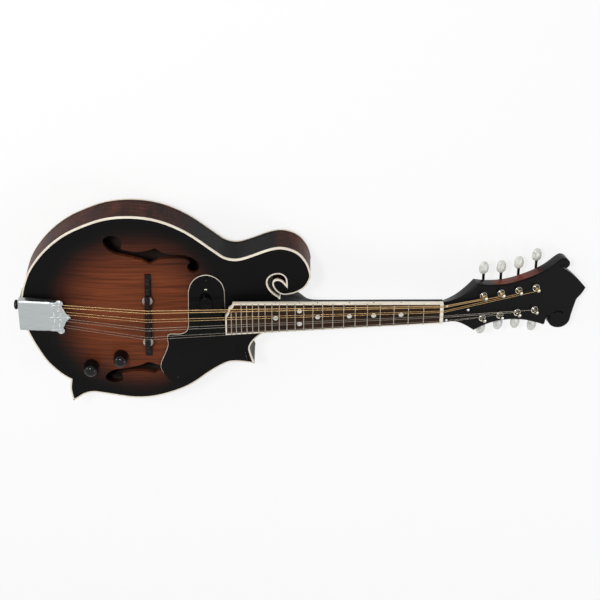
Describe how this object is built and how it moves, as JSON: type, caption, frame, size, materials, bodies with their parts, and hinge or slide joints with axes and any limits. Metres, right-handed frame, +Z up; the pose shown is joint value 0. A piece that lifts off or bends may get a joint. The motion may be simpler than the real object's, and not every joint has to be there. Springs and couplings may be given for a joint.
{
  "type": "F-style mandolin",
  "caption": "Carved mandolin with a scroll and two body points, f-holes, paired strings on a movable bridge, a plated tailpiece, geared tuners and an output jack.",
  "frame": {"origin": "middle of the underside of the whole instrument's bounding box, laid on its back", "axes": "+X along the strings from the tail towards the head, +Y towards the bass side and the scroll, +Z up out of the soundboard"},
  "size_m": [0.7048, 0.262, 0.0978],
  "materials": {
    "sunburst_top": "matte, shaded from red brown in the middle to black at the edge",
    "stained_wood": "satin dark red brown stain",
    "ivoroid": "satin cream",
    "black_lacquer": "satin black lacquer",
    "bare_wood": "bare, inside the body",
    "rosewood": "oiled",
    "bone": "polished bone",
    "ebony": "oiled black",
    "black_plastic": "gloss black",
    "nickel": "polished nickel",
    "chrome": "bright plate, satin on the tailpiece cover",
    "pearl": "pearly grey white",
    "bronze_wire": "wound bronze",
    "steel_wire": "plain steel"
  },
  "bodies": {
    "instrument": {"soundboard": "sunburst_top", "back_plate": "stained_wood", "top_binding": "ivoroid", "back_binding": "ivoroid", "bass_rib": "stained_wood", "treble_rib": "stained_wood", "top_lining": "bare_wood", "back_lining": "bare_wood", "head_block": "bare_wood", "tail_block": "bare_wood", "lower_point_block": "bare_wood", "bass_tone_bar": "bare_wood", "treble_tone_bar": "bare_wood", "neck": "black_lacquer", "truss_rod": "nickel", "truss_rod_cover": "black_plastic", "fretboard": "rosewood", "fretboard_binding": "ivoroid", "frets": "nickel", "nut": "bone", "pickguard": "black_plastic", "pickup": "black_plastic", "pot_volume": "nickel", "pot_tone": "nickel", "bridge_base": "ebony", "tailpiece_bracket": "nickel", "tailpiece_cover": "chrome", "strap_button": "chrome", "output_jack": "chrome", "tuner_plate_bass": "nickel", "tuner_plate_treble": "nickel", "string_g1": "bronze_wire", "string_g2": "bronze_wire", "string_d1": "bronze_wire", "string_d2": "bronze_wire", "string_a1": "steel_wire", "string_a2": "steel_wire", "string_e1": "steel_wire", "string_e2": "steel_wire"},
    "bridge_saddle": {"bridge_saddle": "ebony"},
    "thumbwheel_bass": {"thumbwheel_bass": "chrome"},
    "thumbwheel_treble": {"thumbwheel_treble": "chrome"},
    "knob_volume": {"knob_volume": "black_plastic"},
    "knob_tone": {"knob_tone": "black_plastic"},
    "tuner_key_g1": {"tuner_key_g1": "pearl"},
    "string_post_g1": {"string_post_g1": "nickel"},
    "tuner_key_g2": {"tuner_key_g2": "pearl"},
    "string_post_g2": {"string_post_g2": "nickel"},
    "tuner_key_d1": {"tuner_key_d1": "pearl"},
    "string_post_d1": {"string_post_d1": "nickel"},
    "tuner_key_d2": {"tuner_key_d2": "pearl"},
    "string_post_d2": {"string_post_d2": "nickel"},
    "tuner_key_a1": {"tuner_key_a1": "pearl"},
    "string_post_a1": {"string_post_a1": "nickel"},
    "tuner_key_a2": {"tuner_key_a2": "pearl"},
    "string_post_a2": {"string_post_a2": "nickel"},
    "tuner_key_e1": {"tuner_key_e1": "pearl"},
    "string_post_e1": {"string_post_e1": "nickel"},
    "tuner_key_e2": {"tuner_key_e2": "pearl"},
    "string_post_e2": {"string_post_e2": "nickel"}
  },
  "joints": [
    {"name": "key_turn_g1", "type": "hinge", "parent": "instrument", "child": "tuner_key_g1", "pos_m": [0.22233, 0.01806, 0.03232], "axis": [0, 1, 0], "continuous": true},
    {"name": "post_turn_g1", "type": "hinge", "parent": "instrument", "child": "string_post_g1", "pos_m": [0.22126, 0.01806, 0.05326], "axis": [0.2807, 0, 0.9598], "continuous": true},
    {"name": "key_turn_g2", "type": "hinge", "parent": "instrument", "child": "tuner_key_g2", "pos_m": [0.2444, 0.01806, 0.02587], "axis": [0, 1, 0], "continuous": true},
    {"name": "post_turn_g2", "type": "hinge", "parent": "instrument", "child": "string_post_g2", "pos_m": [0.24334, 0.01806, 0.04681], "axis": [0.2807, 0, 0.9598], "continuous": true},
    {"name": "key_turn_d1", "type": "hinge", "parent": "instrument", "child": "tuner_key_d1", "pos_m": [0.26648, 0.01806, 0.01941], "axis": [0, 1, 0], "continuous": true},
    {"name": "post_turn_d1", "type": "hinge", "parent": "instrument", "child": "string_post_d1", "pos_m": [0.26541, 0.01806, 0.04035], "axis": [0.2807, 0, 0.9598], "continuous": true},
    {"name": "key_turn_d2", "type": "hinge", "parent": "instrument", "child": "tuner_key_d2", "pos_m": [0.28855, 0.01806, 0.01295], "axis": [0, 1, 0], "continuous": true},
    {"name": "post_turn_d2", "type": "hinge", "parent": "instrument", "child": "string_post_d2", "pos_m": [0.28749, 0.01806, 0.0339], "axis": [0.2807, 0, 0.9598], "continuous": true},
    {"name": "key_turn_a1", "type": "hinge", "parent": "instrument", "child": "tuner_key_a1", "pos_m": [0.28855, -0.01354, 0.01295], "axis": [0, 1, 0], "continuous": true},
    {"name": "post_turn_a1", "type": "hinge", "parent": "instrument", "child": "string_post_a1", "pos_m": [0.28749, -0.01354, 0.0339], "axis": [0.2807, 0, 0.9598], "continuous": true},
    {"name": "key_turn_a2", "type": "hinge", "parent": "instrument", "child": "tuner_key_a2", "pos_m": [0.26648, -0.01354, 0.01941], "axis": [0, 1, 0], "continuous": true},
    {"name": "post_turn_a2", "type": "hinge", "parent": "instrument", "child": "string_post_a2", "pos_m": [0.26541, -0.01354, 0.04035], "axis": [0.2807, 0, 0.9598], "continuous": true},
    {"name": "key_turn_e1", "type": "hinge", "parent": "instrument", "child": "tuner_key_e1", "pos_m": [0.2444, -0.01354, 0.02587], "axis": [0, 1, 0], "continuous": true},
    {"name": "post_turn_e1", "type": "hinge", "parent": "instrument", "child": "string_post_e1", "pos_m": [0.24334, -0.01354, 0.04681], "axis": [0.2807, 0, 0.9598], "continuous": true},
    {"name": "key_turn_e2", "type": "hinge", "parent": "instrument", "child": "tuner_key_e2", "pos_m": [0.22233, -0.01354, 0.03232], "axis": [0, 1, 0], "continuous": true},
    {"name": "post_turn_e2", "type": "hinge", "parent": "instrument", "child": "string_post_e2", "pos_m": [0.22126, -0.01354, 0.05326], "axis": [0.2807, 0, 0.9598], "continuous": true},
    {"name": "knob_turn_volume", "type": "hinge", "parent": "instrument", "child": "knob_volume", "pos_m": [-0.25977, -0.07334, 0.06819], "axis": [0, 0, 1], "range_deg": [-150, 150]},
    {"name": "knob_turn_tone", "type": "hinge", "parent": "instrument", "child": "knob_tone", "pos_m": [-0.22197, -0.05574, 0.07419], "axis": [0, 0, 1], "range_deg": [-150, 150]},
    {"name": "saddle_height", "type": "slide", "parent": "instrument", "child": "bridge_saddle", "axis": [0, 0, 1], "range_m": [-0.0007, 0.0028], "deforming": ["string_g1", "string_g2", "string_d1", "string_d2", "string_a1", "string_a2", "string_e1", "string_e2"]},
    {"name": "wheel_turn_bass", "type": "hinge", "parent": "bridge_saddle", "child": "thumbwheel_bass", "pos_m": [-0.18511, 0.03125, 0.08819], "axis": [0, 0, 1], "range_deg": [-361, 1441]},
    {"name": "wheel_turn_treble", "type": "hinge", "parent": "bridge_saddle", "child": "thumbwheel_treble", "pos_m": [-0.18663, -0.02673, 0.08819], "axis": [0, 0, 1], "range_deg": [-361, 1441]}
  ],
  "couplings": [
    {"joint": "post_turn_g1", "follows": "key_turn_g1", "ratio": 0.071429},
    {"joint": "post_turn_g2", "follows": "key_turn_g2", "ratio": 0.071429},
    {"joint": "post_turn_d1", "follows": "key_turn_d1", "ratio": 0.071429},
    {"joint": "post_turn_d2", "follows": "key_turn_d2", "ratio": 0.071429},
    {"joint": "post_turn_a1", "follows": "key_turn_a1", "ratio": 0.071429},
    {"joint": "post_turn_a2", "follows": "key_turn_a2", "ratio": 0.071429},
    {"joint": "post_turn_e1", "follows": "key_turn_e1", "ratio": 0.071429},
    {"joint": "post_turn_e2", "follows": "key_turn_e2", "ratio": 0.071429},
    {"joint": "wheel_turn_bass", "follows": "saddle_height", "rad_per_m": 8976},
    {"joint": "wheel_turn_treble", "follows": "saddle_height", "rad_per_m": 8976}
  ]
}
